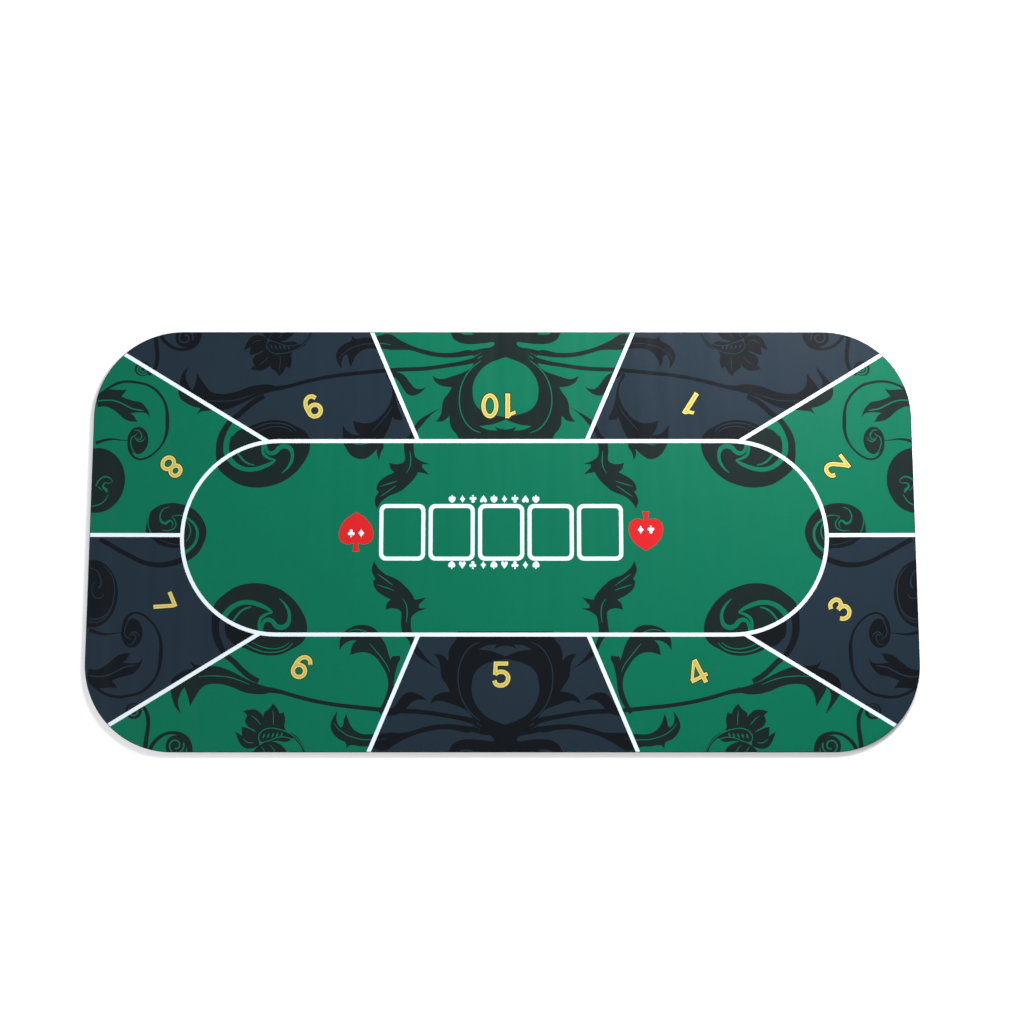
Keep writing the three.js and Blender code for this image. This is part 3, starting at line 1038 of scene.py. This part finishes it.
def clipped_outline(low_x, high_x, inset):
    """A panel's outline: the table top's, moved in by inset and cut at two x, anticlockwise."""
    ring = rounded_outline(inset)
    for limit, sign in ((low_x, 1), (high_x, -1)):
        out = []
        for (x0, y0), (x1, y1) in zip(ring, ring[1:] + ring[:1]):
            in0, in1 = sign * (x0 - limit) >= 0, sign * (x1 - limit) >= 0
            if in0:
                out.append((x0, y0))
            if in0 != in1:
                t = (limit - x0) / (x1 - x0)
                out.append((limit, y0 + t * (y1 - y0)))
        ring = out
    return ring


def skirted_slab(body, low_x, high_x, profile):
    """A slab from rings of (inset, height), each the panel's outline moved in by its inset."""
    rings = []
    for inset, z in profile:  # at a fold, the cut that ends the panel is moved in as well
        left = low_x + (inset if body != "outer_left" else 0)
        right = high_x - (inset if body != "outer_right" else 0)
        rings.append([(x, y, z) for x, y in clipped_outline(left, right, inset)])
    count = len(rings[0])
    vertices = [v for r in rings for v in r]
    faces = [tuple(range(count))[::-1]]
    for a in range(0, len(vertices) - count, count):
        b = a + count
        faces += [(a + i, a + (i + 1) % count, b + (i + 1) % count, b + i) for i in range(count)]
    faces.append(tuple(range(len(vertices) - count, len(vertices))))
    return vertices, faces


FOAM_GAP = 0.5
FOAM = foam_material()
RUBBER = rubber_material()
FOAM_PROFILE = [  # inset in mm, height as a share of the pad's thickness
    (1.6, 0.0), (0.8, 0.04), (0.35, 0.16), (0.12, 0.38), (0.15, 0.6), (0.45, 0.8), (1.1, 0.94),
    (2.0, 1.0)]  # fmt: skip
for body in BODIES:
    low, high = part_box(body + "_foam")
    x0 = low.x / MM + (FOAM_GAP if body != "outer_left" else 0)
    x1 = high.x / MM - (FOAM_GAP if body != "outer_right" else 0)
    thick = FOAM_TOP - FOAM_LOW
    rings = [(inset, (FOAM_LOW + share * thick) / MM) for inset, share in FOAM_PROFILE]
    vertices, faces = skirted_slab(body, x0, x1, rings)
    pad = link("foam_pad_" + body, np.array(vertices) * MM, faces, [FOAM])
    pad.data.polygons.foreach_set("use_smooth", [False] + [True] * (len(faces) - 2) + [False])
    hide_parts(body + "_foam")
    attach(pad, body)

# the rubber underside: a thin sheet with rows of low moulded feet
RELIEF = 0.38
FOOT_PITCH, FOOT_HALF, FOOT_TOP_HALF = 7.6, 2.75, 2.1
FEET_MARGIN, LEAST_MARGIN = 5.5, 0.5  # the spine is too narrow for the wider one
FOOT_SINK = 0.05  # how far a foot reaches into the sheet
z0, z1 = RUBBER_LOW / MM, RUBBER_TOP / MM
web = z0 + RELIEF
RUBBER_RINGS = [(0.5, web), (0.15, web + 0.1), (0.0, web + 0.25), (0.0, z1 - 0.1), (0.15, z1)]
for body in BODIES:
    low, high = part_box(body + "_backing")
    x0, x1 = low.x / MM, high.x / MM
    vertices, faces = skirted_slab(body, x0, x1, RUBBER_RINGS)
    margin = min(FEET_MARGIN, (x1 - x0) / 2 - FOOT_HALF - LEAST_MARGIN)
    rows = int(2 * HALF_WIDTH / FOOT_PITCH) + 2
    columns = int((x1 - x0) / FOOT_PITCH) * 2 + 4
    cx0 = (x0 + x1) / 2
    for i in range(-columns, columns + 1):
        for j in range(-rows, rows + 1):
            if (i + j) % 2:
                continue
            cx, cy = cx0 + i * FOOT_PITCH / 2, j * FOOT_PITCH / 2
            if not x0 + margin < cx < x1 - margin or slab_distance(cx, cy) < FEET_MARGIN:
                continue
            base = len(vertices)
            for half, z in ((FOOT_HALF, web + FOOT_SINK), (FOOT_TOP_HALF, z0)):
                vertices += [(cx + half, cy, z), (cx, cy + half, z)]
                vertices += [(cx - half, cy, z), (cx, cy - half, z)]
            foot = [(0, 1, 2, 3), (7, 6, 5, 4)]
            foot += [((k + 1) % 4, k, 4 + k, 4 + (k + 1) % 4) for k in range(4)]
            faces += [tuple(base + k for k in face) for face in foot]
    sheet = link("rubber_sheet_" + body, np.array(vertices) * MM, faces, [RUBBER])
    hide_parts(body + "_backing")
    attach(sheet, body)

# the stiff parts keep their CAD shapes
RIM, BOARD = rim_material(), board_material()
for body in BODIES:
    stiffener = "_slat" if body == "spine" else "_board"
    for node, material in ((body + "_rim", RIM), (body + stiffener, BOARD)):
        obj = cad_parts[node]
        if not obj.material_slots:
            obj.data.materials.append(None)
        for s in obj.material_slots:
            s.material = material

# ---------------------------------------------------------------- floor and light
def floor_material():
    n = Nodes("floor_paint")
    tone = n.shade(srgb(247, 247, 248), n.range(n.noise(2, 2), 0.99, 1.0))
    return n.finish(tone, n.range(n.noise(20, 2), 0.85, 0.95), n.bump(n.noise(300, 2), 0.0002, 0.2))


FLOOR_REACH, FLOOR_DROP = 12.0, 0.0004
corners = [(sx * FLOOR_REACH, sy * FLOOR_REACH) for sx, sy in ((-1, -1), (1, -1), (1, 1), (-1, 1))]
floor_points = [(x, y, cad_low.z - FLOOR_DROP) for x, y in corners]
floor = link("floor", floor_points, [(0, 1, 2, 3)], [floor_material()])

world = bpy.data.worlds.new("studio")
bpy.context.scene.world = world
world.use_nodes = True
background = world.node_tree.nodes["Background"]
background.inputs["Color"].default_value = (0.93, 0.96, 1.0, 1)
background.inputs["Strength"].default_value = 0.26


def softbox(name, place, size, power):
    data = bpy.data.lights.new(name, "AREA")
    data.shape, data.size, data.size_y = "RECTANGLE", *size
    data.energy = power
    light = bpy.data.objects.new(name, data)
    light.location = place
    light.rotation_euler = (-Vector(place)).to_track_quat("-Z", "Y").to_euler()
    bpy.context.collection.objects.link(light)


softbox("key_far_right", (0.62, 0.9, 0.92), (0.6, 0.45), 29)
softbox("fill_left", (-3.4, -0.4, 2.4), (2.0, 2.4), 90)
softbox("fill_near", (0.2, -3.4, 2.2), (2.6, 1.6), 65)
